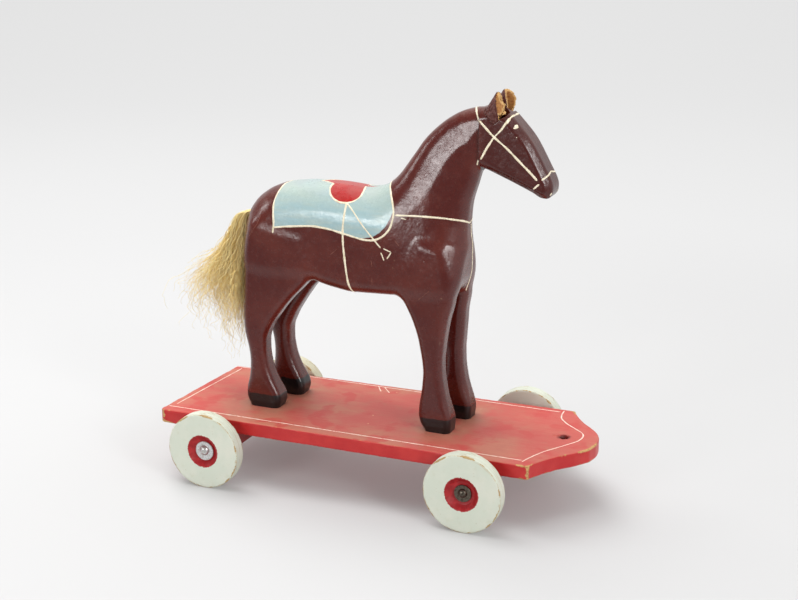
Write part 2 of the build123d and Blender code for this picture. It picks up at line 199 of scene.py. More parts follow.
def carve(shape, low, high, step):
    """A quad mesh of a signed distance function's surface: one point for each cell that it crosses."""
    axes = [np.arange(a, b + step, step) for a, b in zip(low, high)]
    grid = np.stack(np.meshgrid(*axes, indexing="ij"), axis=-1)
    value = shape(grid.reshape(-1, 3)).reshape(grid.shape[:3])
    inside = value < 0
    cells = [len(axis) - 1 for axis in axes]
    total, count = np.zeros([*cells, 3]), np.zeros(cells)
    for axis in range(3):
        for corner in ((0, 0), (0, 1), (1, 0), (1, 1)):
            start, end = np.insert(corner, axis, 0), np.insert(corner, axis, 1)
            here = value[tuple(slice(s, s + n) for s, n in zip(start, cells))]
            there = value[tuple(slice(s, s + n) for s, n in zip(end, cells))]
            hit = (here < 0) != (there < 0)
            where = np.zeros(total.shape) + start
            where[..., axis] = here / np.where(hit, here - there, 1)
            total += where * hit[..., None]
            count += hit
    used = count > 0
    index = np.full(used.shape, -1)
    index[used] = np.arange(used.sum())
    cell = np.stack(np.nonzero(used), axis=1)
    points = (cell + total[used] / count[used][:, None]) * step + np.array(low, float)
    faces = []
    for axis in range(3):
        along, b, c = np.roll(np.eye(3, dtype=int), -axis, axis=0)
        lower = tuple(slice(1 - k, -1) for k in along)
        upper = tuple(slice(1, None if k else -1) for k in along)
        at = np.stack(np.nonzero(inside[lower] != inside[upper]), axis=1) + b + c
        ring = [index[tuple((at - back).T)] for back in (0 * b, b, b + c, c)]
        quads = np.stack(ring, axis=1)
        entering = ~inside[tuple(at.T)]
        quads[entering] = quads[entering][:, ::-1]
        faces.append(quads)
    return onto(shape, points, stride=0.5 * step), np.concatenate(faces)


def clean_mesh(name, points, faces):
    """A mesh in metres from points in millimetres."""
    mesh = bpy.data.meshes.new(name)
    mesh.from_pydata(np.asarray(points) * MM, [], [list(map(int, face)) for face in faces])
    return mesh


def cut_away(mesh, point, toward):
    """Cuts off what lies beyond a plane, then closes the cut. The closing faces get material index 1."""
    bm = bmesh.new()
    bm.from_mesh(mesh)
    cut = bmesh.ops.bisect_plane(
        bm,
        geom=bm.verts[:] + bm.edges[:] + bm.faces[:],
        dist=1e-7,
        plane_co=Vector(point) * MM,
        plane_no=Vector(toward),
        clear_outer=True,
    )
    rim = [item for item in cut["geom_cut"] if isinstance(item, bmesh.types.BMEdge)]
    lid = bmesh.ops.triangle_fill(bm, edges=rim, normal=Vector(toward), use_beauty=True)
    for item in lid["geom"]:
        if isinstance(item, bmesh.types.BMFace):
            item.material_index = 1
            if item.normal.dot(Vector(toward)) < 0:
                item.normal_flip()
    bm.to_mesh(mesh)
    bm.free()


def points_of(mesh):
    """A mesh's points in millimetres."""
    points = np.zeros(len(mesh.vertices) * 3)
    mesh.vertices.foreach_get("co", points)
    return points.reshape(-1, 3) / MM


def shade_from(mesh, shape):
    """Shades the skin by the shape's own slope, so that neighbouring pieces look like one surface."""
    smooth = unit(slope_of(shape, points_of(mesh), 0.5))
    corner_vertex = np.zeros(len(mesh.loops), int)
    mesh.loops.foreach_get("vertex_index", corner_vertex)
    normals = smooth[corner_vertex]
    for face in mesh.polygons:
        if face.material_index == 1:
            face.material_index = 0
            normals[face.loop_start : face.loop_start + face.loop_total] = face.normal
    mesh.shade_smooth()
    mesh.normals_split_custom_set(normals)


def store(mesh, name, values):
    attribute = mesh.attributes.new(name, "FLOAT", "POINT")
    attribute.data.foreach_set("value", np.asarray(values, np.float32))


def in_scene(name, data):
    """A new object, put in the scene."""
    item = bpy.data.objects.new(name, data)
    bpy.context.scene.collection.objects.link(item)
    return item


def place(mesh, material, slot, *stands_for, body="toy", at=(0, 0, 0)):
    """A finished piece: it rides on its body and hides the CAD nodes that it stands for."""
    piece = in_scene(mesh.name, mesh)
    piece.location = at
    mesh.materials.append(material)
    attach(piece, body)
    if stands_for:
        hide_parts(*stands_for)


def joined(parts):
    """Several (points, faces) put together."""
    points, faces, start = [], [], 0
    for part_points, part_faces in parts:
        points.append(part_points)
        faces += [tuple(int(v) + start for v in face) for face in part_faces]
        start += len(part_points)
    return np.concatenate(points), faces


def ring_faces(rings, around, closed=False):
    """Quads between neighbouring rings of points, and back to the first ring if it is closed."""
    faces = []
    for i in range(rings if closed else rings - 1):
        a, b = i * around, (i + 1) % rings * around
        for j in range(around):
            k = (j + 1) % around
            faces.append((a + j, a + k, b + k, b + j))
    return faces


def tube(edges):
    """Points and faces of a capped tube, from the lines of points that run along it."""
    count, around = len(edges[0]), len(edges)
    first = tuple(range(around))[::-1]
    last = tuple((count - 1) * around + j for j in range(around))
    return np.stack(edges, axis=1).reshape(-1, 3), [*ring_faces(count, around), first, last]


def outline(corners, soften, step=2.0, margin=14.0):
    """The signed distance to a closed outline through softened corners."""
    return Profile(smooth_path(corners, soften, closed=True, step=step), margin)


# ---- the horse's shape

TRUNK_OUTLINE = [
    (-115, 172), (-116, 190), (-116, 199.5), (-113, 209.5), (-105.5, 219), (-95, 226.5), (-84, 230.5),
    (-65.5, 233), (-47, 234), (-33, 233.5), (-14.5, 232), (-5, 233), (3, 236.5), (9, 241.5), (14, 247),
    (19.5, 255), (25.5, 263.5), (31, 271.5), (39, 280), (48, 287.5), (59, 294), (70.5, 297.5), (90, 298.5),
    (90, 253.5), (75.5, 252.8), (72.5, 242), (68.5, 230.5), (67, 223), (66, 211), (66, 201.5), (67, 194),
    (66, 182), (65, 170), (60.5, 159.5), (50, 155.5), (25, 155), (4, 154), (-24, 153), (-45, 156.5),
    (-60, 161.5), (-85, 160), (-108, 161), (-114, 164),
]
FORELEG_OUTLINE = [
    (34.5, 200), (18, 175), (17, 158), (22.5, 150), (28.5, 138), (33, 125), (36, 110), (37.5, 98),
    (36.5, 85), (34.5, 73), (34, 63), (36.5, 56), (41, 50), (42, 44), (59.5, 44), (59.5, 50),
    (60.5, 56.5), (60.5, 63), (58.5, 70), (55, 82), (53, 95), (52.5, 108), (54, 122), (56.5, 138),
    (60.5, 152), (61.5, 166), (54, 195),
]
HIND_LEG_OUTLINE = [
    (-104, 203), (-109, 188), (-112, 172), (-113, 160), (-113.5, 147), (-114.5, 134), (-115, 121),
    (-114, 110), (-111, 98), (-110, 88), (-111, 76), (-113.5, 66), (-113, 58), (-109.5, 50), (-108, 44),
    (-86.5, 44), (-86, 50), (-83, 57), (-84, 63.5), (-89, 72), (-94, 84), (-96, 95), (-96, 109),
    (-90.5, 120), (-82, 132), (-73, 143), (-62, 154), (-52, 166), (-60, 195),
]
HEAD_OUTLINE = [
    (66, 297.2), (76, 298), (84, 299.8), (92, 298.8), (100.2, 292.6), (105, 287.4), (110, 282),
    (114.5, 276.2), (118.3, 270), (122, 263.5), (125.5, 257), (129.3, 250), (131, 245.5), (131, 240),
    (128, 235), (121.5, 235.5), (117, 238.5), (98.5, 246.5), (80, 253.5), (66, 258.5),
]
BODY_HALF = 27.0
NECK_HALF = 13.6
LEG_INNER, LEG_OUTER = 7.3, 26.0
LEFT_AHEAD, LEFT_WIDER = 3.6, 1.8  # the left legs stand a little further forward and out
HOOF_TOP = 62.5
HEAD_BEVEL = (5.0, 3.4)  # on the near and far side

# An ear's pocket is a slanting bore, opened at the front by a chiselled notch.
EAR_FOOT = np.array([83.4, 288.4])  # x and z
EAR_Y = 5.9
EAR_SPLAY = 0.10  # outward for each millimetre along the axis
EAR_R = 6.4
EAR_HALF = (7.7, 6.2)  # forward and outward, of its squarish section
EAR_LEAN = radians(33)
NOTCH_LEDGE = np.array([91.7, 290.9])  # x and z of the notch floor's lower end
NOTCH_RISE = radians(40)
NOTCH_INNER_Y = 3.2
NOTCH_REAR_X = 87.0

trunk_profile = outline(TRUNK_OUTLINE, 3.0)
foreleg_profile = outline(FORELEG_OUTLINE, 2.6)
hind_leg_profile = outline(HIND_LEG_OUTLINE, 2.6)
head_profile = outline(HEAD_OUTLINE, 1.6)
carving_marks = Waves(seed=4, size=26.0)


def body_half_width(x, z):
    """Half the body's width, which narrows up the neck to the head's joint and over the rump."""
    up_neck = (x - 6) * cos(radians(51)) + (z - 208) * sin(radians(51))
    neck = smooth_step(-8, 92, up_neck) ** 0.8
    return BODY_HALF + (NECK_HALF - BODY_HALF) * neck - 3 * smooth_step(-95, -125, x)


def carcass(p):
    """Signed distance to the trunk, neck and legs. The legs run on a little below their soles."""
    x, y, z = p[:, 0], np.abs(p[:, 1]), p[:, 2]
    flank = trunk_profile(x, z)
    crown = smooth_step(-30, 0, flank) * smooth_step(198, 214, z)
    width = body_half_width(x, z) - 3.2 * crown
    radius = np.minimum(11 + 10 * smooth_step(172, 205, z), 0.86 * width)
    body = round_slab(flank, y - width, radius)
    left = smooth_step(168, 112, z) * (p[:, 1] > 0)
    x = x - LEFT_AHEAD * left
    middle, half = 0.5 * (LEG_INNER + LEG_OUTER), 0.5 * (LEG_OUTER - LEG_INNER)
    sole_taper = 0.6 * smooth_step(57, DECK, z)
    outward = np.abs(y - LEFT_WIDER * left - middle) - half + sole_taper
    corner = 4.6 + 2 * smooth_step(58, 78, z)
    fore = round_slab(foreleg_profile(x, z), outward, corner)
    hind = round_slab(hind_leg_profile(x, z), outward, corner)
    whole = smooth_union(body, np.minimum(fore, hind), 6.0)
    return whole + 0.05 * carving_marks(p)


def ear_axes(p):
    """Distance forward of, outward of and along the slanting axis of the nearer ear."""
    x, z = p[:, 0] - EAR_FOOT[0], p[:, 2] - EAR_FOOT[1]
    forward = x * cos(EAR_LEAN) - z * sin(EAR_LEAN)
    along = x * sin(EAR_LEAN) + z * cos(EAR_LEAN)
    return forward, np.abs(p[:, 1]) - EAR_Y - EAR_SPLAY * along, along


def ear_radius(forward, outward):
    """Distance from the ear's axis, measured so that the squarish tube's skin is at EAR_R."""
    return EAR_R * (np.abs(forward / EAR_HALF[0]) ** 3 + np.abs(outward / EAR_HALF[1]) ** 3) ** (1 / 3)


def head_block(p):
    """Signed distance to the head, with its two ear pockets."""
    x, y, z = p[:, 0], np.abs(p[:, 1]), p[:, 2]
    cheek = head_profile(x, z)
    across = y - HEAD_HALF
    sharp = bevel_slab(cheek, across, np.where(p[:, 1] < 0, *HEAD_BEVEL), 1.3)
    soft = round_slab(cheek, across - 0.9 * smooth_step(96, 76, x), 9.0)
    front = smooth_step(78, 97, x)
    block = soft * (1 - front) + sharp * front
    forward, outward, along = ear_axes(p)
    pocket = np.maximum(ear_radius(forward, outward) - EAR_R - 0.08, -along)
    floor = (x - NOTCH_LEDGE[0]) * sin(NOTCH_RISE) - (z - NOTCH_LEDGE[1]) * cos(NOTCH_RISE)
    notch = np.maximum(np.maximum(floor, NOTCH_INNER_Y - y), NOTCH_REAR_X - x)
    return np.maximum(block, -np.minimum(pocket, notch)) + 0.05 * carving_marks(p)


# ---- painted decoration

# The near side's painted lines: width, softening of the corners, and points. The other side mirrors them.
BODY_LINES = {
    "blanket_rear": (1.5, 2.5, [
        (-82.6, 0, 231), (-83, -12, 228.5), (-84, -17, 224), (-84.7, -20, 218.2), (-84, -24, 211),
        (-83.2, -27, 204), (-84, -28, 195.5)]),
    "blanket_hem": (1.5, 2.5, [
        (-83.5, -28, 200), (-73.5, -27, 201.5), (-61, -27, 203), (-50, -27, 204), (-37.5, -27, 203),
        (-25, -27, 200.5), (-13.5, -27, 198), (-6.5, -27, 197), (1, -27, 197.5), (8, -27, 201.5),
        (13, -26, 207.5), (14.7, -25, 215.5), (15, -24.3, 220.5), (12.5, -22.3, 227.5), (9, -17, 234.3),
        (6, -8, 238), (5, 0, 239.5)]),
    "saddle_point": (1.2, 1.0, [(-55, 0, 234), (-48, -4, 234), (-41.5, -7.1, 234)]),
    "saddle_lobe": (1.4, 1.6, [
        (-41.2, -7, 234), (-42, -12, 233), (-41, -16, 231.5), (-39, -20, 228.7), (-35, -22.4, 225.7),
        (-30, -23.5, 224), (-24.2, -23.1, 223.9), (-19.3, -21.6, 225), (-15, -17.5, 228),
        (-14.8, -10.8, 231.3), (-17, -2, 232.3)]),
    "girth": (1.7, 3.0, [
        (-24, -23, 224.5), (-24.4, -26.8, 215), (-25.5, -27, 202), (-25.3, -27, 192.5), (-24, -27, 180),
        (-22.4, -27, 167), (-20.8, -26, 160), (-19.5, -22, 155), (-19, -14, 153), (-19, 0, 153)]),
    "stirrup_strap": (1.2, 2.0, [(-24, -23, 224), (5.5, -27, 192.2)]),
    "breast_band": (1.4, 3.0, [
        (16.2, -24.5, 217.5), (33, -22.6, 218), (52, -20, 217.5), (60, -16, 216), (64.6, -10, 214.5),
        (66, 0, 211)]),
    "breast_tick": (0.7, 1.0, [(20.8, -24.3, 215.8), (25, -24, 215)]),
    "poll_band": (1.2, 1.5, [(70, 0, 297.5), (73, -8, 295), (75.2, -12, 291), (76.3, -13.2, 288.3)]),
    "throat_tick": (1.3, 1.0, [(76, -12.8, 260.5), (75.2, -12.3, 255.5)]),
    "stirrup_top": (1.0, 0.6, [(7.8, -27, 192), (14, -27, 189.8)]),
    "stirrup_front": (1.0, 0.6, [(14, -27, 189.6), (10.6, -27, 184.4)]),
    "stirrup_rear": (1.0, 0.6, [(5.7, -27, 188.8), (8.3, -27, 182.7)]),
}
HEAD_LINES = {
    "cheek_strap": (1.5, 2.0, [
        (77, -13.2, 289.6), (87.6, -12.7, 278.5), (98.2, -12.5, 270.4), (108, -12.5, 261.3),
        (117.2, -12.5, 253), (120.9, -12.5, 249.2)]),
    "brow_band": (1.5, 1.5, [
        (99.6, 0, 293.2), (99.4, -7, 293.2), (98, -10.6, 290.9), (93.3, -12.5, 283.8),
        (87.6, -12.7, 277.8), (82.4, -13.1, 269.5), (78.3, -13.1, 261.5)]),
    "nose_band": (1.3, 1.2, [(126.5, 0, 254), (127, -4.8, 253), (126.3, -10.2, 251.4), (124, -12.4, 249.7)]),
    "nose_tick": (1.2, 0.8, [(122.5, -12.5, 246.9), (117.5, -12.4, 242.3)]),
    "brow_blob": (2.3, 0.6, [(98.8, -8.8, 292.4), (97.7, -11, 290.3), (96.4, -12.3, 288)]),
    "eye_dot": (1.7, 0.3, [(104.6, -12.5, 279.3), (105.2, -12.5, 279.0)]),
    "lip_tick": (1.6, 0.5, [(131.2, -7.6, 240.0), (130, -8.6, 237.6)]),
    "eye_white_low": (1.7, 0.2, [(101.7, -10.8, 284.9), (106.4, -10.6, 287.6)]),
    "eye_white_high": (1.7, 0.2, [(102.6, -10.8, 286.9), (106.6, -10.6, 289.0)]),
}
CHEST_LINE = (1.3, 3.0, [(66, 2.5, 210), (66.5, 3.5, 198), (65.6, 7, 178), (64, 8.5, 163.5), (61, 9, 155)])
# Scratches through the paint on the near side.
SCRATCHES = [
    [(-95.1, -25, 208.1), (-97.7, -25.5, 200.2), (-104.7, -26, 190.9)],
    [(-91.4, -26, 116.6), (-87.7, -26, 123.5)],
    [(16.4, -25, 199), (20.3, -25, 194.8)],
    [(-36.1, -27, 182.8), (-30.2, -27, 188.1)],
    [(35.2, -26, 155.1), (44.7, -26, 163.9)],
    [(-2.2, -27, 182), (-1.5, -27, 177)],
    [(-1.9, -27, 169), (-1.6, -27, 163)],
]

# The painted patches, in a flattened view: x, and the way down over the back from its crest.
BACK_CREST_Z = 233.0
SADDLE_PATCH = [(-55, 0), (-48, 3.5), (-41.3, 7.1), (-42, 12), (-41, 17), (-39, 25), (-35, 30.5), (-30, 33.2),
                (-24, 32.6), (-19, 29.6), (-15, 22.5), (-14.8, 12.5), (-16, 5), (-17.5, 3.2), (-11, 1.6),
                (-5, 0)]
BLANKET_PATCH = [(-82.6, 250), (-82.6, 231), (-83, 228.5), (-84, 224), (-84.7, 218.2), (-84, 211),
                 (-83.2, 204), (-83.5, 200), (-73.5, 201.3), (-61, 202.8), (-50, 203.8), (-37.5, 202.8),
                 (-25, 200.3), (-13.5, 198.2), (-7, 198.6), (-1, 200), (5, 204), (9, 208.5), (12, 214),
                 (14.2, 220), (12.3, 227.5), (9, 234.3), (6, 238), (5, 250)]


saddle_ring = SADDLE_PATCH + [(x, -down) for x, down in SADDLE_PATCH[-2:0:-1]]
blanket_profile = Profile(np.array(BLANKET_PATCH, float), margin=6.0)
saddle_profile = outline(saddle_ring, 0.7, step=1.0, margin=6.0)

PAINT_THICKNESS = 0.16
# A painted line's section, from edge to edge and back under the surface: across and up.
BEAD = ((-1, 0.125), (-0.6, 0.8), (0, 1.0), (0.6, 0.8), (1, 0.125), (0.7, -1.0), (-0.7, -1.0))


def painted_line(width, soften, corners, shape, seed):
    """A closed, slightly domed strip of paint along a surface, as wide as the brush left it."""
    path = onto(shape, smooth_path(corners, soften, step=0.8), rounds=5)
    side = unit(np.cross(unit(slope_of(shape, path)), unit(np.gradient(path, axis=0))))
    run = np.concatenate([[0], np.cumsum(np.linalg.norm(np.diff(path, axis=0), axis=1))])
    taper = np.sqrt(np.clip(np.minimum(run, run[-1] - run) / (0.6 * width), 0.05, 1))
    half = 0.5 * width * taper * (1 + 0.16 * Waves(seed, 9.0)(path) + 0.07 * Waves(seed + 1, 2.5)(path))
    edges = []
    for across, rise in BEAD:
        spot = onto(shape, path + side * (across * half)[:, None], rounds=2)
        edges.append(spot + unit(slope_of(shape, spot)) * PAINT_THICKNESS * rise)
    return tube(edges)


def mirrored(line):
    return [(x, -y, z) for x, y, z in line]


def line_set(name, shape, lines, both_sides=False):
    """One piece from several painted lines."""
    parts = []
    for number, (width, soften, line) in enumerate(lines):
        for turn, corners in enumerate([line, mirrored(line)] if both_sides else [line]):
            parts.append(painted_line(width, soften, corners, shape, seed=40 + 2 * number + turn))
    mesh = clean_mesh(name, *joined(parts))
    tidy_normals(mesh)
    return mesh


def tidy_normals(mesh):
    """Makes every face point outward and shades it smoothly."""
    bm = bmesh.new()
    bm.from_mesh(mesh)
    bmesh.ops.recalc_face_normals(bm, faces=bm.faces[:])
    bm.to_mesh(mesh)
    bm.free()
    mesh.shade_smooth()


# ---- materials


class Value:
    """A number in a shader, which can be added, multiplied and so on."""

    def __init__(self, nodes, socket):
        self.nodes, self.socket = nodes, socket

    def __add__(self, other):
        return self.nodes.math("ADD", self, other)

    def __sub__(self, other):
        return self.nodes.math("SUBTRACT", self, other)

    def __rsub__(self, other):
        return self.nodes.math("SUBTRACT", other, self)

    def __mul__(self, other):
        return self.nodes.math("MULTIPLY", self, other)

    def __abs__(self):
        return self.nodes.math("ABSOLUTE", self)

    __rmul__ = __mul__


class Nodes:
    """Short names for shader nodes."""

    def __init__(self, tree):
        self.tree = tree

    def put(self, value, socket):
        """Sets or links a socket. A text is a web colour code, and None changes nothing."""
        value = getattr(value, "socket", value)
        if isinstance(value, bpy.types.NodeSocket):
            self.tree.links.new(value, socket)
        elif value is not None:
            socket.default_value = tone(value) if isinstance(value, str) else value

    def node(self, kind, inputs=(), **settings):
        """A new node with its inputs, given by their names or numbers, and its settings."""
        node = self.tree.nodes.new("ShaderNode" + kind)
        for key, value in settings.items():
            setattr(node, key, value)
        for key, value in dict(inputs).items():
            self.put(value, node.inputs[key])
        return node

    def math(self, operation, *values):
        return Value(self, self.node("Math", enumerate(values), operation=operation).outputs[0])

    def highest(self, a, b):
        return self.math("MAXIMUM", a, b)

    def parts(self, vector):
        return [Value(self, socket) for socket in self.node("SeparateXYZ", {0: vector}).outputs]

    def ease(self, value, low, high, start=0.0, end=1.0):
        """A smooth step: start below low and end above high, which may be given the other way round."""
        inputs = {"Value": value, "From Min": low, "From Max": high, "To Min": start, "To Max": end}
        return Value(self, self.node("MapRange", inputs, interpolation_type="SMOOTHSTEP").outputs[0])


class Paintbox(Nodes):
    """The shader of one material. Lengths inside are in millimetres."""

    def __init__(self, name, roughness, **inputs):
        self.material = bpy.data.materials.new(name)
        self.material.use_nodes = True
        super().__init__(self.material.node_tree)
        self.surface = self.tree.nodes["Principled BSDF"].inputs
        self.put(roughness, self.surface["Roughness"])
        for key, value in inputs.items():
            self.put(value, self.surface[key.replace("_", " ")])
        where = self.node("TexCoord").outputs
        self.place = self.stretch(1 / MM, at=where["Object"])
        self.x, self.y, self.z = self.parts(self.place)
        self.upward = self.parts(where["Normal"])[2]

    def stretch(self, scale, shift=(0, 0, 0), at=None):
        """The place, scaled along each axis and shifted."""
        inputs = {0: at or self.place, 1: np.broadcast_to(scale, 3).astype(float), 2: shift}
        return self.node("VectorMath", inputs, operation="MULTIPLY_ADD").outputs[0]

    def noise(self, size, detail=4, rough=0.55, at=None):
        """Cloud noise, 0 to 1, whose features are about size millimetres across."""
        inputs = {"Vector": at or self.place, "Scale": 1 / size, "Detail": detail, "Roughness": rough}
        return Value(self, self.node("TexNoise", inputs).outputs["Fac"])

    def patches(self, size, low, high, detail=4, rough=0.55, at=None):
        """Soft-edged patches, where cloud noise rises from low to high."""
        return self.ease(self.noise(size, detail, rough, at), low, high)

    def specks(self, apart, outer, inner):
        """Small round dots, whose radii are shares of their distance apart."""
        cells = self.node("TexVoronoi", {"Vector": self.place, "Scale": 1 / apart})
        return self.ease(cells.outputs["Distance"], outer, inner)

    def stored(self, name):
        return Value(self, self.node("Attribute", attribute_name=name).outputs["Fac"])

    def layers(self, colour, *coats):
        """A colour, covered by the colour of each coat in turn as far as its share says."""
        for share, over in coats:
            colour = self.node("Mix", {"Factor": share, 6: colour, 7: over}, data_type="RGBA").outputs[2]
        return colour

    def bump(self, *layers):
        """Surface relief, from (height in 0 to 1, depth in millimetres) layers."""
        before = None
        for height, depth in layers:
            inputs = {"Distance": depth * MM, "Height": height, "Normal": before}
            before = self.node("Bump", inputs).outputs["Normal"]
        self.put(before, self.surface["Normal"])

    def finish(self, colour, roughness=None):
        self.put(colour, self.surface["Base Color"])
        self.put(roughness, self.surface["Roughness"])
        return self.material


def tone(code):
    """A linear colour from a web colour code."""
    parts = [int(code[i : i + 2], 16) / 255 for i in (0, 2, 4)]
    return (*[c / 12.92 if c <= 0.04045 else ((c + 0.055) / 1.055) ** 2.4 for c in parts], 1.0)


def horse_paint():
    """Glossy brown brushwork, with black hooves, the painted blanket and saddle, and small scuffs."""
    box = Paintbox("brown_paint", 0.3, Coat_Weight=0.12, Coat_Roughness=0.15)
    far_hind = box.ease(box.y, 2.0, 6.0) * box.ease(box.x, -60.0, -70.0)
    hoof_edge = box.z + 2.0 * box.noise(6, 2) - 2.8 * far_hind
    hoof = box.ease(hoof_edge, HOOF_TOP + 1.5, HOOF_TOP + 0.7)
    ragged = 0.7 * (box.noise(2.2, 3) - 0.5)
    in_blanket = box.ease(box.stored("blanket") + ragged, 0.12, -0.12)
    in_saddle = box.ease(box.stored("saddle") + 0.4 * ragged, 0.1, -0.1)
    chip = box.specks(26, 0.055, 0.03) * box.patches(2.5, 0.35, 0.5, 3)
    rub = 0.7 * box.patches(9, 0.68, 0.74, 5, 0.7)
    upright = box.stretch((1, 1, 0.12), shift=(7, 3, 1))
    scuff = box.patches(3.2, 0.66, 0.72, 4, 0.65) * box.patches(5, 0.5, 0.62, 2, at=upright)
    # Upward faces are painted paler and pinker: partly dust, partly a painted reflection of the bright room
    # above.
    dust_and_sheen = box.ease(box.upward, 0.35, 1.0) * box.patches(12, 0.2, 0.8)
    blue = box.layers(
        "97b4b8",
        (box.patches(3, 0.35, 0.7, at=box.stretch((0.16, 1, 1))), "a5b7b3"),
        (box.ease(box.z, 212.0, 230.0), "a3b4ad"),
        (0.5 * box.patches(24, 0.4, 0.7, 3), "98b2b8"),
        (box.highest(chip, rub), "b98a7c"),
    )
    colour = box.layers(
        "4c140e",
        (box.patches(30, 0.35, 0.7), "5a2118"),
        (0.25 * box.patches(5, 0.55, 0.75, 3), "68352b"),
        (0.6 * box.ease(box.x, 72.0, 84.0), "3a0a05"),
        (0.6 * box.ease(abs(box.x - JOINT_X), 0.45, 0.1), "1e0a07"),
        (hoof, "0d0a0b"),
        (in_blanket, blue),
        (in_saddle, box.layers("a31214", (box.patches(16, 0.4, 0.7), "ab1b1a"))),
        (scuff * (0.75 - box.highest(in_blanket, hoof)), "8a6a55"),
        # painted reflection on the upward faces, with dust
        (0.22 * dust_and_sheen, "a58f84"),
    )
    box.bump(
        (box.noise(9, 2), 0.14),
        (box.noise(3.4, 3), 0.2),
        (box.noise(1.6, 3, at=box.stretch((0.5, 1, 1))), 0.035),
        (1.0 - box.specks(13, 0.09, 0.02), 0.12),
        (box.highest(in_blanket, in_saddle), 0.05),
    )
    return box.finish(colour, 0.3 * box.noise(4, 4, 0.6) + 0.1 * hoof + 0.1 * dust_and_sheen + 0.1)


def brushed_line(name, roughness, relief, colour, *coats):
    """Enamel laid on with a fine brush. A coat is its share, its colour and its patches."""
    box = Paintbox(name, roughness)
    box.bump((box.noise(0.8, 2), relief))
    coats = [(share * box.patches(*spots), over) for share, over, spots in coats]
    return box.finish(box.layers(colour, *coats))


def board_paint():
    """Red gloss: deep on the sides, sun-faded on top, and worn to the wood along the edges."""
    box = Paintbox("red_board_paint", 0.4, Specular_IOR_Level=0.45)
    grain = box.noise(1.2, at=box.stretch((0.05, 1, 1)))
    top = box.ease(box.upward, 0.4, 0.8)
    rosy = box.patches(26, 0.52, 0.62, 3, at=box.stretch(1, shift=(31, 7, 0)))
    by_feet = box.ease(box.stored("feet"), 46.0, 8.0) * box.patches(18, 0.3, 0.6)
    faded = box.layers(
        "b9534a",
        (box.patches(34, 0.4, 0.62, at=box.stretch((0.6, 1, 1))), "b66d59"),
        (0.6 * box.patches(11, 0.5, 0.75), "b06453"),
        (0.7 * rosy, "b83f3b"),
        (0.25 * box.ease(grain, 0.5, 0.8), "cc8f75"),
        (0.75 * by_feet, "a8775f"),
    )
    rubbed = box.stored("rubbed") * box.patches(14, 0.40, 0.62, 3)
    worn = box.ease(box.stored("edge") - 1.7 * (rubbed + box.noise(1.3)) + 1.3, 0.25, -0.05)
    colour = box.layers(
        "b21d1f",
        (box.patches(20, 0.35, 0.7), "be2c29"),
        (top, faded),
        (worn, box.layers("c9a06a", (box.ease(grain, 0.35, 0.65), "a97f4c"))),
        (box.ease(box.stored("hole"), 3.2, 0.0) * box.patches(2, 0.25, 0.5, 3), "5a1512"),
        (0.7 * box.specks(19, 0.05, 0.02), "d9b08c"),
    )
    box.bump((box.noise(9, 3), 0.15), (grain, 0.05), (box.noise(1, 2), 0.03), (worn, -0.12))
    return box.finish(colour, 0.16 * top + 0.25 * worn + 0.36)


def block_paint():
    """Red paint brushed on the axle blocks, with bare wood at some corners."""
    box = Paintbox("red_block_paint", 0.45)
    grain = box.noise(1.4, at=box.stretch((1, 0.06, 1)))
    colour = box.layers(
        "8f1715",
        (box.patches(14, 0.35, 0.7), "a82b26"),
        (0.3 * box.ease(grain, 0.55, 0.8), "6d100f"),
        (box.patches(4, 0.7, 0.74, 4, 0.7), "b98d5d"),
    )
    box.bump((grain, 0.08), (box.noise(2, 3), 0.04))
    return box.finish(colour)


def wheel_paint():
    """Pale mint gloss, worn to the wood at the rims, with the red hub painted over it by hand."""
    box = Paintbox("mint_wheel_paint", 0.42, Specular_IOR_Level=0.4)
    tread = box.stored("tread")
    groove = box.noise(1, 2, at=box.stretch((0.03, 1.4, 0.03)))
    scrape = 0.8 * tread * box.patches(1.1, 0.62, 0.68, at=box.stretch((0.12, 1.2, 0.12)))
    reach = box.patches(9, 0.44, 0.7, 3) + 1.5 * box.noise(0.9) - 0.43
    worn = box.highest(box.ease(box.stored("edge") - reach, 0.2, -0.05), scrape)
    from_axle = box.math("SQRT", box.x * box.x + box.z * box.z)
    hub = box.ease(from_axle + 2.4 * box.noise(2.2, 4, 0.7), 14.55, 14.25) * box.stored("outer")
    colour = box.layers(
        "c9cfc0",
        (box.patches(18, 0.35, 0.7), "d1d3c5"),
        (0.5 * box.patches(5, 0.55, 0.8), "bfc1aa"),
        (0.55 * box.stored("yellowed"), "cbbf9c"),
        (0.55 * tread * box.ease(groove, 0.5, 0.72), "b3a584"),
        (worn, box.layers("c2a470", (box.noise(1.5, 3), "8f7448"))),
        (0.7 * box.specks(9, 0.05, 0.02), "a08c64"),
        (hub, box.layers("931016", (box.patches(4, 0.4, 0.7), "ab2226"))),
    )
    box.bump((box.noise(6, 3), 0.12), (box.noise(1.2, 3), 0.04), (worn, -0.1), (groove, 0.04))
    return box.finish(colour)


def steel(name, bright, dark, rust):
    """Steel with fine tool marks, small pits and some tarnish."""
    box = Paintbox(name, 0.3, Metallic=1.0)
    cloud = box.noise(1.6, 4, 0.6)
    box.bump((box.noise(0.4, 2), 0.015), (box.noise(1.5, 3), 0.02))
    coats = (box.ease(cloud, 0.4, 0.7), dark), (0.6 * box.patches(0.9, 0.58, 0.7), rust)
    return box.finish(box.layers(bright, *coats), 0.3 * cloud + 0.18)


def bare_wood():
    """Beech, for the dowel and the tail's peg."""
    box = Paintbox("bare_wood", 0.6)
    grain = box.noise(0.7, at=box.stretch((0.08, 1, 1)))
    box.bump((grain, 0.05))
    return box.finish(box.layers("cfa878", (box.ease(grain, 0.35, 0.7), "b0854f")))


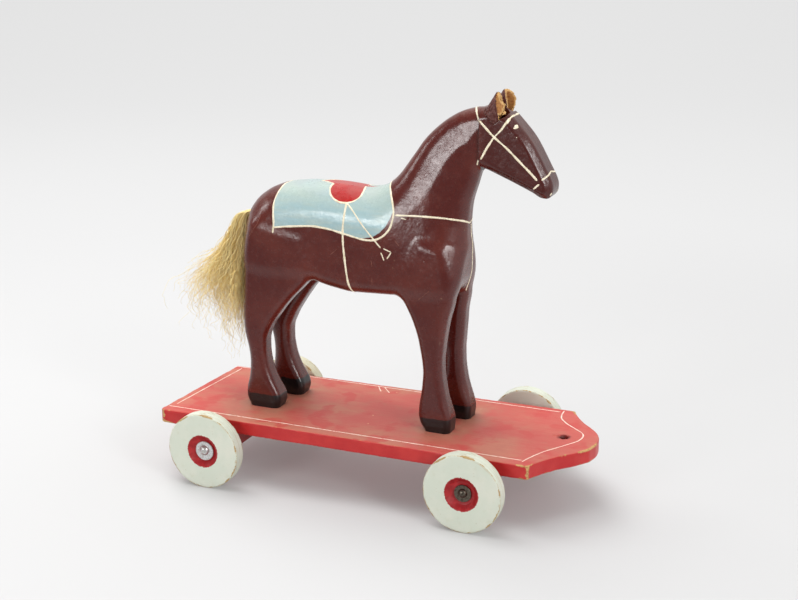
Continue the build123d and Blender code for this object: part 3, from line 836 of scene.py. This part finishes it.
def ear_leather():
    """Leather painted with the horse on its outside and raw tan inside and along its torn edges."""
    box = Paintbox("ear_leather", 0.5)
    fibre = box.noise(0.8, 4, 0.7, at=box.stretch((1, 1, 0.35)))
    stripe = box.patches(1.1, 0.5, 0.62, 3, at=box.stretch((0.3, 0.3, 1)))
    painted = box.ease(box.stored("outside") + 0.3 * fibre, 0.6, 0.72)
    colour = box.layers(
        "c08a4a",
        (box.ease(fibre, 0.35, 0.65), "a2652f"),
        (0.7 * stripe, "7c3f17"),
        (box.stored("rim"), box.layers("dcb57a", (box.ease(fibre, 0.3, 0.7), "c08f4f"))),
        (painted, box.layers("4c1c14", (box.patches(1.5, 0.4, 0.65), "68403a"))),
    )
    box.bump((fibre, 0.12), (box.noise(1.3, 3), 0.10))
    return box.finish(colour, 0.62 - 0.36 * painted)


def sisal():
    """Pale golden plant fibre. Each strand has its own tone, and painted shade darkens the strands by the
    rump near the root.
    """
    box = Paintbox("sisal", 0.55, Sheen_Weight=0.15)
    box.bump((box.noise(0.3, 2), 0.03))
    # Painted shade: the "deep" value darkens the strands that hang against the rump.
    under, spots = 0.7 * box.stored("deep"), 0.3 * box.patches(3, 0.5, 0.7, 3)
    colour = box.layers("e4bf68", (box.stored("shade"), "fbecb0"), (under, "b38036"), (spots, "dcb268"))
    return box.finish(colour)


def backdrop_paper():
    """Pale paper. Away from the toy it gives off a little light, which evens out the background, and
    in front of the toy it looks darker in gloss, as a studio does beyond the paper's edge."""
    box = Paintbox("pale_paper", 0.9, Specular_IOR_Level=0.1)
    from_toy = box.math("SQRT", box.x * box.x + box.y * box.y) + 20.0 * box.noise(200, 2)
    far = box.ease(from_toy, 300.0, 1000.0)
    in_gloss = Value(box, box.node("LightPath").outputs["Is Glossy Ray"])
    shut = 0.7 * in_gloss * box.ease(box.y, 0.0, -550.0)
    box.put(box.layers("ffffff", (shut, "000000")), box.surface["Emission Color"])
    box.put(0.53 * far + 0.13, box.surface["Emission Strength"])
    return box.finish(box.layers("b3b3b3", (far, "666666"), (shut, "101010")))


# ---- horse

BODY_STEP = 1.3
HEAD_STEP = 0.6
paint = horse_paint()
thin, worn = (2.2, 0.35, 0.7, 3), (1.1, 0.66, 0.72, 3)
cream = brushed_line("cream_line_paint", 0.35, 0.03, "f0e6cd", (1, "ddd0b0", thin), (0.5, "a08a72", worn))


def horse_pieces():
    """The three layers of the body, cut from one carving so that their skins run on into each other."""
    low = (-126, -31, DECK - 5)
    high = (JOINT_X + 8, 31, 304)
    whole = clean_mesh("carcass", *carve(carcass, low, high, BODY_STEP))
    cut_away(whole, (JOINT_X, 0, 0), (1, 0, 0))
    cut_away(whole, (0, 0, DECK), (0, 0, -1))
    left_joint, right_joint = (0, CORE_HALF, 0), (0, -CORE_HALF, 0)
    leftward, rightward = (0, 1, 0), (0, -1, 0)
    layers = {
        "horse_core": ((left_joint, leftward), (right_joint, rightward)),
        "horse_left_side": ((left_joint, rightward),),
        "horse_right_side": ((right_joint, leftward),),
    }
    for node, cuts in layers.items():
        mesh = whole.copy()
        mesh.name = f"{node}_carved"
        for point, toward in cuts:
            cut_away(mesh, point, toward)
        place_horse_mesh(mesh, carcass, node)
    bpy.data.meshes.remove(whole)


def place_horse_mesh(mesh, shape, node):
    x, y, z = points_of(mesh).T
    store(mesh, "blanket", blanket_profile(x, z))
    store(mesh, "saddle", saddle_profile(x, np.abs(y) + np.maximum(BACK_CREST_Z - z, 0)))
    shade_from(mesh, shape)
    place(mesh, paint, "brown_paint", node)


def head_piece():
    low = (JOINT_X - 8, -HEAD_HALF - 4, 230)
    high = (136, HEAD_HALF + 4, 302)
    mesh = clean_mesh("horse_head_carved", *carve(head_block, low, high, HEAD_STEP))
    cut_away(mesh, (JOINT_X, 0, 0), (-1, 0, 0))
    place_horse_mesh(mesh, head_block, "horse_head")


def painted_lines():
    lines = line_set("harness_lines", carcass, BODY_LINES.values(), both_sides=True)
    place(lines, cream, "brown_paint")
    place(line_set("chest_line", carcass, [CHEST_LINE]), cream, "brown_paint")
    lines = line_set("bridle_lines", head_block, HEAD_LINES.values(), both_sides=True)
    place(lines, cream, "brown_paint")
    pale = brushed_line("scratch_pale", 0.5, 0.03, "6a3629", (1, "8d5646", (1.5, 0.4, 0.6, 3)))
    place(line_set("scratches", carcass, [(0.32, 1.0, line) for line in SCRATCHES]), pale, "brown_paint")


# ---- ears

# The ears were torn, so each wall's front edge has its own line: x and z, from the tip down.
# The skin is a wall's painted outer layer and the lining is the raw leather inside it.
TORN_EDGES = {
    "left": {
        "skin": [(89.4, 309.6), (91.6, 307.6), (94.7, 303.6), (95, 300), (94, 296)],
        "lining": [(89.7, 309.8), (92, 308), (95.3, 303.8), (95.6, 299.8), (94.5, 296)],
        "inner": [(89.8, 310), (90.6, 309), (91.2, 305), (92.4, 300.4), (93, 296)],
    },
    "right": {
        "skin": [(88.5, 310), (88.9, 306), (89.6, 300), (90.4, 296), (90.9, 293), (90.6, 290)],
        "lining": [
            (89.6, 310), (91.4, 308), (92, 305.4), (93.4, 303.2), (96.2, 301.8), (95.2, 300.4), (94, 299),
            (94.4, 296.8), (95.2, 294.8), (94.2, 294), (93.2, 296.4), (92.5, 294.2), (90.5, 295),
        ],
        "inner": [(88.4, 310), (89.4, 308.6), (90, 305), (91.2, 300.4), (92, 296)],
    },
}
EAR_BACK = [(92, 279), (68, 279), (68, 310)]
EAR_GAP = radians(38)  # half the opening
EAR_TURN = radians(20)  # the opening is turned inward
SKIN_T, LINING_T = 1.0, 1.1
EAR_STEP = 0.34
torn = Waves(seed=12, size=2.6)
torn_fine = Waves(seed=13, size=1.1)


def ear_layers(side):
    """One ear's shape, a rolled skin and lining that are open in front, and their outlines' distances."""
    edges = TORN_EDGES[side].items()
    cuts = {layer: outline(edge + EAR_BACK, 0.25, step=0.5, margin=5.0) for layer, edge in edges}

    def shape(p):
        forward, outward, along = ear_axes(p)
        radial = ear_radius(forward, outward)
        tear = 0.3 * torn(p) + 0.2 * torn_fine(p)
        around = np.abs(np.arctan2(outward, forward) + EAR_TURN)
        opening = (EAR_GAP - around) * np.maximum(radial, 1) + tear
        inner = cuts["inner"](p[:, 0], p[:, 2])
        is_outer = outward > 0
        skin_edge = np.where(is_outer, cuts["skin"](p[:, 0], p[:, 2]), inner) + 0.5 * tear
        lining_edge = np.where(is_outer, cuts["lining"](p[:, 0], p[:, 2]), inner) + tear
        skin = np.abs(radial - EAR_R + 0.5 * SKIN_T) - 0.5 * SKIN_T
        lining = np.abs(radial - EAR_R + SKIN_T + 0.5 * LINING_T) - 0.5 * LINING_T - 0.15
        both = np.minimum(np.maximum(skin, skin_edge), np.maximum(lining, lining_edge))
        return np.maximum(both + 0.06 * torn_fine(p), np.maximum(opening, 0.3 - along))

    return shape, cuts


def ear_pieces():
    leather = ear_leather()
    for side, sign in SIDE_NAMES.items():
        shape, cuts = ear_layers(side)
        low, high = node_box(f"{side}_ear")
        points, faces = carve(shape, low - 2, high + 2, EAR_STEP)
        mesh = clean_mesh(f"{side}_ear_leather", points, faces)
        forward, outward, _ = ear_axes(points)
        store(mesh, "outside", smooth_step(EAR_R - 0.8, EAR_R - 0.3, ear_radius(forward, outward)))
        edges = {layer: -cut(points[:, 0], points[:, 2]) for layer, cut in cuts.items()}
        rim = np.where(outward > 0, edges["lining"], edges["inner"])
        store(mesh, "rim", smooth_step(1.2, 0.3, rim))
        shade_from(mesh, shape)
        place(mesh, leather, "leather", f"{side}_ear")


# ---- tail

# Centre line of the tuft with its half widths along x and y: x, z, half x, half y.
TUFT = [
    (-112.5, 202.5, 3.4, 3.8),
    (-118.0, 207.0, 4.6, 4.8),
    (-123.4, 203.0, 5.6, 6.0),
    (-127.0, 190.0, 7.2, 8.0),
    (-130.0, 171.0, 10.5, 11.0),
    (-133.5, 155.0, 16.5, 13.5),
    (-135.0, 143.0, 20.5, 15.5),
    (-132.5, 132.0, 17.5, 14.5),
    (-126.0, 119.0, 10.0, 9.5),
    (-122.0, 104.0, 6.0, 5.5),
]
TAIL_BACK, TAIL_FRONT = -184.0, -116.5  # no fibre strays beyond these
BUNDLES, BUNDLE_STRANDS = 3, 500
STRAND_SIDES = 3
LOCKS = 60


def tuft_curve(share):
    """Centre and half widths at each share, 0 to 1, of the way down the tuft."""
    table = smooth_path(TUFT, 5.0)
    at = share * (len(table) - 1)
    return np.stack([np.interp(at, np.arange(len(table)), column) for column in table.T], axis=-1)


def strand(rng, lock, wild):
    """One fibre's centre line. Its lock says where in the tuft it hangs and how far down it ends."""
    length = np.clip(lock["length"] + rng.normal(0, 0.1), 0.3, 1.0)
    if wild:
        length = rng.uniform(0.4, 0.85)
    count = int(20 + 22 * length)
    share = np.linspace(0, length, count)
    centre = tuft_curve(share)
    spot = lock["spot"] + rng.normal(0, 0.16, 2)
    drift = rng.normal(0, 0.75, 2)
    hang = np.maximum(share - 0.15, 0)[:, None]
    spot = spot + hang * drift
    x = centre[:, 0] + centre[:, 2] * spot[:, 0]
    y = centre[:, 3] * spot[:, 1]
    z = centre[:, 1] + 0.25 * centre[:, 2] * spot[:, 0] * (1 - share)
    loose = smooth_step(0.02, 0.6, share)
    for column, size in ((x, 2.0), (y, 2.0), (z, 1.1)):
        walk = np.cumsum(np.cumsum(rng.normal(0, 0.05, count)))
        column += size * loose * (walk - walk[0])
        for waves, height in ((rng.uniform(3, 7), 1.1), (rng.uniform(8, 13), 0.9)):
            curl = np.sin(share * 2 * pi * waves + rng.uniform(0, 2 * pi))
            column += size * height * rng.uniform(0.3, 1.2) * loose * curl
    if wild:
        flight = (np.maximum(share - 0.25, 0) / 0.6)[:, None] ** 1.5
        away = np.array([-rng.uniform(0, 22), rng.normal(0, 8), rng.uniform(-2, 20)])
        x, y, z = (np.stack([x, y, z], axis=1) + flight * away).T
    x = np.where(x < TAIL_BACK, 2 * TAIL_BACK - x, x)
    front = np.where(share > 0.2, TAIL_FRONT - 2 * np.abs(spot[:, 1]), 0)
    x = np.where(x > front, front - 0.6 * np.minimum(x - front, 12), x)
    return np.stack([x, y, z], axis=1), share


def strand_tube(path, thick, rng):
    """A tapered tube round a centre line."""
    tangent = unit(np.gradient(path, axis=0))
    side = unit(np.cross(tangent, unit(rng.normal(size=(1, 3)))))
    other = np.cross(tangent, side)
    radius = 0.5 * thick * (1 - 0.65 * np.linspace(0, 1, len(path))[:, None] ** 2)
    turns = [2 * pi * k / STRAND_SIDES for k in range(STRAND_SIDES)]
    return tube([path + radius * (cos(turn) * side + sin(turn) * other) for turn in turns])


def tail_pieces():
    """The tuft, as three bundles of fibres that leave one hole together."""
    rng = np.random.default_rng(7)
    fibre = sisal()
    locks = []
    for _ in range(LOCKS):
        angle, out = rng.uniform(0, 2 * pi), np.sqrt(rng.uniform(0, 1))
        spot = out * np.array([cos(angle), sin(angle)])
        locks.append({"spot": spot, "length": 0.78 + 0.16 * spot[0] + rng.uniform(-0.12, 0.06)})
    for bundle in range(BUNDLES):
        parts, shades, painted_shades = [], [], []
        for number in range(BUNDLE_STRANDS):
            lock = locks[rng.integers(len(locks))]
            wild = number % 12 == 0
            path, share = strand(rng, lock, wild)
            points, faces = strand_tube(path, rng.uniform(0.3, 0.52) * (0.6 if wild else 1), rng)
            parts.append((points, faces))
            shades.append(np.full(len(points), rng.uniform(0, 1)))
            # Painted shade: strands on the rump's side of the tuft are darkened near the root, where the body
            # shades them.
            under = smooth_step(0.2, 0.9, lock["spot"][0]) * smooth_step(0.55, 0.0, share)
            painted_shades.append(np.repeat(under * rng.uniform(0.4, 1.0), STRAND_SIDES))
        mesh = clean_mesh(f"tail_fibres_{bundle + 1}", *joined(parts))
        store(mesh, "shade", np.concatenate(shades))
        store(mesh, "deep", np.concatenate(painted_shades))
        mesh.shade_smooth()
        place(mesh, fibre, "sisal", "tail")


# ---- board

# The deck's front edge from its left shoulder round the nose to its right one. It was cut by hand.
NOSE = [(134.2, 60.5), (137.2, 54), (141, 47.6), (146, 40.6), (152.5, 33.2), (158.6, 27), (163.8, 19.5),
        (166.6, 13), (168, 5), (168.1, -2), (166, -12), (158.4, -23.3), (148.8, -33.8), (140.8, -46),
        (135, -57.5), (134.2, -60.5)]
BOARD_SKEW, BOARD_TAPER = 4.0, 4.5  # the left rear corner is this much further forward and in
TOW_X, TOW_Y, TOW_R = 141.5, 4.0, 3.25
board_half = BOARD_HIGH[1]
board_ring = [(BOARD_LOW[0] - 0.5 + BOARD_SKEW, board_half - BOARD_TAPER), *NOSE]
board_ring += [(BOARD_LOW[0] + 0.5, -board_half), (BOARD_LOW[0] - 2, -board_half + 1.5)]
board_profile = outline(board_ring, 0.9, step=1.0, margin=6.0)
BOARD_STEP = 1.1
FEET = [(-98, -16.6), (-94.5, 18.5), (50, -16.6), (53.5, 18.5)]
chips = Waves(seed=21, size=15.0)
chips_fine = Waves(seed=22, size=3.2)
# Paint and wood broken out behind the tow hole: x, y, radius.
CHIP_TRAIL = [(141.5, 4.2, 4.2), (138.0, 5.4, 2.2), (136.0, 3.6, 1.6), (133.8, 4.4, 1.2)]


def tow_hole(p):
    return np.hypot(p[:, 0] - TOW_X, p[:, 1] - TOW_Y) - TOW_R + 0.25 * chips_fine(p)


def board_shape(p):
    """Signed distance to the board: edges rounded by wear, chipped here and there, with its tow hole."""
    across = np.abs(p[:, 2] - 0.5 * (BOARD_LOW[2] + BOARD_HIGH[2])) - 0.5 * (BOARD_HIGH[2] - BOARD_LOW[2])
    wear = 0.8 + 0.5 * smooth_step(0.2, 1.6, chips(p)) + 0.2 * chips_fine(p)
    slab = round_slab(board_profile(p[:, 0], p[:, 1]), across, np.clip(wear, 0.5, 1.8))
    chipped = np.full(len(p), 1e3)
    for x, y, radius in CHIP_TRAIL:
        dent = np.hypot(np.hypot(p[:, 0] - x, p[:, 1] - y), 2.2 * (p[:, 2] - DECK)) - radius
        chipped = np.minimum(chipped, dent + 0.3 * chips_fine(p))
    return np.maximum(slab, -np.minimum(tow_hole(p), chipped))


def nearest(points, spots):
    """Distance seen from above to the nearest of several spots."""
    return np.min([np.hypot(points[:, 0] - x, points[:, 1] - y) for x, y in spots], axis=0)


def board_piece():
    points, faces = carve(board_shape, BOARD_LOW - 2.5, BOARD_HIGH + 2.5, BOARD_STEP)
    mesh = clean_mesh("board_painted", points, faces)
    x, y, z = points.T
    inward = np.clip(-board_profile(x, y), 0, 50)
    to_face = np.clip(np.minimum(BOARD_HIGH[2] - z, z - BOARD_LOW[2]), 0, 50)
    corners = [(NOSE[0][0], board_half), (NOSE[-1][0], -board_half), (BOARD_LOW[0], -board_half)]
    to_corner = nearest(points, corners)
    near_nose = smooth_step(128, 138, x) * smooth_step(20, -5, y)
    store(mesh, "edge", np.minimum(inward + to_face, 0.8 * to_corner))
    store(mesh, "rubbed", np.clip(0.45 + 0.55 * near_nose + smooth_step(12, 2, to_corner), 0, 1.3))
    store(mesh, "feet", nearest(points, FEET))
    store(mesh, "hole", tow_hole(points))
    shade_from(mesh, board_shape)
    place(mesh, board_paint(), "red_paint", "board")


def deck_plane(p):
    return p[:, 2] - DECK


# The pinstripes are separate strokes: width, softening, and points on the deck.
STRIPES = [
    (1.0, 2.0, [
        (126.1, 57.3), (126.5, 49), (128.5, 40.8), (135.3, 31.8), (146.1, 22.5), (152.2, 17.1), (154.6, 12.5),
        (155.1, 7.1), (153.8, -0.4), (144.3, -16.6), (136.7, -28.5), (132.2, -38.9), (129.1, -48),
        (127.6, -54)]),
    (1.0, 2.0, [(-166, 54), (124, 54)]),
    (1.0, 2.0, [(-168.6, -51.4), (126.7, -51.4)]),
    (1.0, 2.0, [(-165.1, -45.2), (-159, 50.9)]),
    (0.9, 1.0, [(-33, 55), (-25.5, 43)]),
    (0.9, 1.0, [(-27, 54), (-18, 43)]),
]


def pinstripes():
    """Thin cream lines round the deck, and two short ticks by the flank."""
    strokes = [(width, soften, [(x, y, DECK) for x, y in line]) for width, soften, line in STRIPES]
    thin, worn = (3, 0.3, 0.7, 3), (5, 0.54, 0.66, 4, 0.7)
    rubbed = brushed_line("pinstripe_paint", 0.45, 0.02, "efd9cb", (1, "e4c4b4", thin), (0.8, "cf7f76", worn))
    place(line_set("deck_pinstripes", deck_plane, strokes), rubbed, "red_paint")


# ---- wheels

WHEEL_SEGMENTS = 160
HUB_RIM_R, HUB_FLOOR_R, HUB_DEPTH = 12.5, 9.0, 4.2
WHEEL_BORE = {"front": 1.8, "rear": 2.15}


def wheel_outline(radius, width, bore):
    """Half-section of a wheel, from the bore's inner end round the tread to the hub's floor: radius, y."""
    floor = width - HUB_DEPTH
    tread = np.linspace(0.10, 0.90, 17)
    groove = 0.16 * np.sin(tread * 36) - 0.4 * np.exp(-(((tread - 0.72) / 0.03) ** 2))
    points = [(r, 0) for r in (bore, 6, 14, 22, radius - 2.2)]
    points += [(radius - 1.0, 0.05), (radius - 0.3, 0.35)]
    points += [(radius + g, t * width) for t, g in zip(tread, groove)]
    points += [(radius - 0.25, width - 0.3), (radius - 0.9, width - 0.04), (radius - 1.8, width)]
    points += [(r, width) for r in (26, 22, 18, 15, HUB_RIM_R + 0.7)]
    points += [(HUB_RIM_R + 0.1, width - 0.1), (HUB_RIM_R - 0.4, width - 0.5)]
    points += [(HUB_FLOOR_R + 0.3, floor + 0.3), (HUB_FLOOR_R - 0.4, floor), (5, floor), (bore, floor)]
    return points


def wheel_piece(node, end, sign, seed, material):
    low, high = node_box(node)
    width = high[1] - low[1]
    radius = 0.5 * (high[2] - low[2])
    inner_y = low[1] if sign > 0 else high[1]
    section = np.array(wheel_outline(radius, width, WHEEL_BORE[end]))
    turn = np.linspace(0, 2 * pi, WHEEL_SEGMENTS, endpoint=False)
    r, y = np.tile(section, (WHEEL_SEGMENTS, 1)).T
    turn = np.repeat(turn, len(section))
    points = np.stack([r * np.cos(turn), sign * y, r * np.sin(turn)], axis=1)
    nicks, wobble = Waves(seed, 4.0), Waves(seed + 1, 30.0)
    from_axle = np.hypot(points[:, 0], points[:, 2])
    depth = np.abs(points[:, 1])
    corner = np.minimum(np.hypot(from_axle - radius, depth), np.hypot(from_axle - radius, depth - width))
    bite = 0.16 * np.maximum(nicks(points), 0) * smooth_step(2.2, 0.0, corner)
    hub_bite = 0.25 * nicks(points) * smooth_step(1.2, 0.0, np.hypot(from_axle - HUB_RIM_R, depth - width))
    scale = 1 - (bite + hub_bite) / np.maximum(from_axle, 1)
    face_wave = 0.07 * wobble(points) * smooth_step(0, 3, depth)
    points[:, 0] *= scale
    points[:, 2] *= scale
    points[:, 1] -= sign * (0.4 * bite + np.abs(face_wave) * (from_axle > 6))
    mesh = clean_mesh(f"{node}_painted", points, ring_faces(WHEEL_SEGMENTS, len(section), closed=True))
    store(mesh, "edge", corner)
    store(mesh, "tread", (from_axle > radius - 1.3).astype(float))
    store(mesh, "outer", (depth > 0.5 * width).astype(float))
    store(mesh, "yellowed", np.full(len(points), float(node == "rear_left_wheel")))
    tidy_normals(mesh)
    mesh.set_sharp_from_angle(angle=radians(38))
    centre = Vector((low[0] + radius, inner_y, low[2] + radius)) * MM
    place(mesh, material, "mint_paint", node, body=node, at=centre)


def wheels():
    material = wheel_paint()
    for number, (end, side) in enumerate((end, side) for end in END_NAMES for side in SIDE_NAMES):
        wheel_piece(f"{end}_{side}_wheel", end, SIDE_NAMES[side], 60 + 3 * number, material)


# ---- CAD pieces that keep their shape


def dress_cad_pieces():
    bright = steel("bright_steel", "dcdee0", "bab6ae", "948a7a")
    dark = steel("dark_steel", "6a6258", "4a423a", "5c3f28")
    red, wood = block_paint(), bare_wood()
    finishes = {"axle_block": red, "head_dowel": wood, "tail_peg": wood}
    for end, metal in zip(END_NAMES, (dark, bright)):
        for side in SIDE_NAMES:
            finishes[f"{end}_{side}_washer"] = metal
            finishes[f"{end}_{side}_wheel_screw"] = metal
    finishes["screw"] = bright
    for name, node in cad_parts.items():
        if node.hide_render:
            continue
        material = next(m for key, m in finishes.items() if key in name)
        node.data.materials.clear()
        node.data.materials.append(material)


# ---- stage

CAMERA_AT = (0.4256, -0.9863, 0.4591)
CAMERA_TARGET = (0.0089, 0.0, 0.1452)
CAMERA_ROLL = radians(-0.14)
CAMERA_LENS = 65.7  # for a 36 mm wide sensor


def studio():
    """A pale sweep of paper, flat under the toy and curving up behind it."""
    rows = [(t, 0.0) for t in np.linspace(-1.6, 1.8, 12, endpoint=False)]
    rows += [(1.8 + 1.2 * sin(turn), 1.2 * (1 - cos(turn))) for turn in np.linspace(0, 0.5 * pi, 13)]
    rows.append((3.0, 3.2))
    away, across = Vector((-0.389, 0.921, 0)), Vector((0.921, 0.389, 0))
    points = [
        (away * distance + across * side + Vector((0, 0, height))) / MM
        for distance, height in rows
        for side in (-3.2, 3.2)
    ]
    faces = [(2 * i, 2 * i + 1, 2 * i + 3, 2 * i + 2) for i in range(len(rows) - 1)]
    mesh = clean_mesh("paper_sweep", [tuple(point) for point in points], faces)
    mesh.shade_smooth()
    mesh.materials.append(backdrop_paper())
    in_scene("paper_sweep", mesh)


def toward(target, start):
    """The turn that points a lamp or a camera at its target."""
    return (Vector(target) - Vector(start)).to_track_quat("-Z", "Y")


def softbox(name, at, target_z, size, power, glossy=True):
    light = bpy.data.lights.new(name, "AREA")
    light.shape = "RECTANGLE"
    light.size, light.size_y = size
    light.energy = power
    lamp = in_scene(name, light)
    lamp.location = at
    lamp.visible_glossy = glossy
    lamp.rotation_euler = toward((0, 0, target_z), at).to_euler()


def lighting():
    """Air that is brighter behind and to the right of the toy than in front of it, and soft boxes."""
    world = bpy.data.worlds.new("studio_air")
    bpy.context.scene.world = world
    world.use_nodes = True
    air = Nodes(world.node_tree)
    right, back, _ = air.parts(air.node("TexCoord").outputs["Generated"])
    background = air.tree.nodes["Background"].inputs
    air.put((1.0, 0.985, 0.985, 1.0), background["Color"])
    air.put(air.ease(0.6 * right + back, -0.7, 0.5, 0.28, 0.95), background["Strength"])
    softbox("key_light", (-0.9, 0.5, 1.7), 0.1, (1.3, 1.0), 27, glossy=False)
    softbox("top_light", (-0.2, -0.2, 1.9), 0.1, (1.2, 0.9), 14, glossy=False)
    softbox("front_right", (1.6, -0.95, 0.95), 0.2, (0.4, 0.7), 12)
    softbox("low_left", (-0.5, -1.4, 0.44), 0.2, (0.45, 0.3), 6)
    softbox("left", (-1.5, -0.35, 0.85), 0.15, (0.25, 0.35), 2)
    softbox("matte_fill", (0.6, -2.0, 0.7), 0.15, (1.6, 1.2), 3.2, glossy=False)


def camera():
    lens = bpy.data.cameras.new("camera")
    lens.lens = CAMERA_LENS
    lens.sensor_width = 36
    eye = in_scene("camera", lens)
    eye.location = CAMERA_AT
    eye.rotation_mode = "QUATERNION"
    roll = Matrix.Rotation(CAMERA_ROLL, 3, "Z").to_quaternion()
    eye.rotation_quaternion = toward(CAMERA_TARGET, CAMERA_AT) @ roll
    bpy.context.scene.camera = eye


# ---- everything together

horse_pieces()
head_piece()
painted_lines()
ear_pieces()
tail_pieces()
board_piece()
pinstripes()
wheels()
dress_cad_pieces()
studio()
lighting()
camera()
bpy.context.scene.view_settings.view_transform = "Standard"
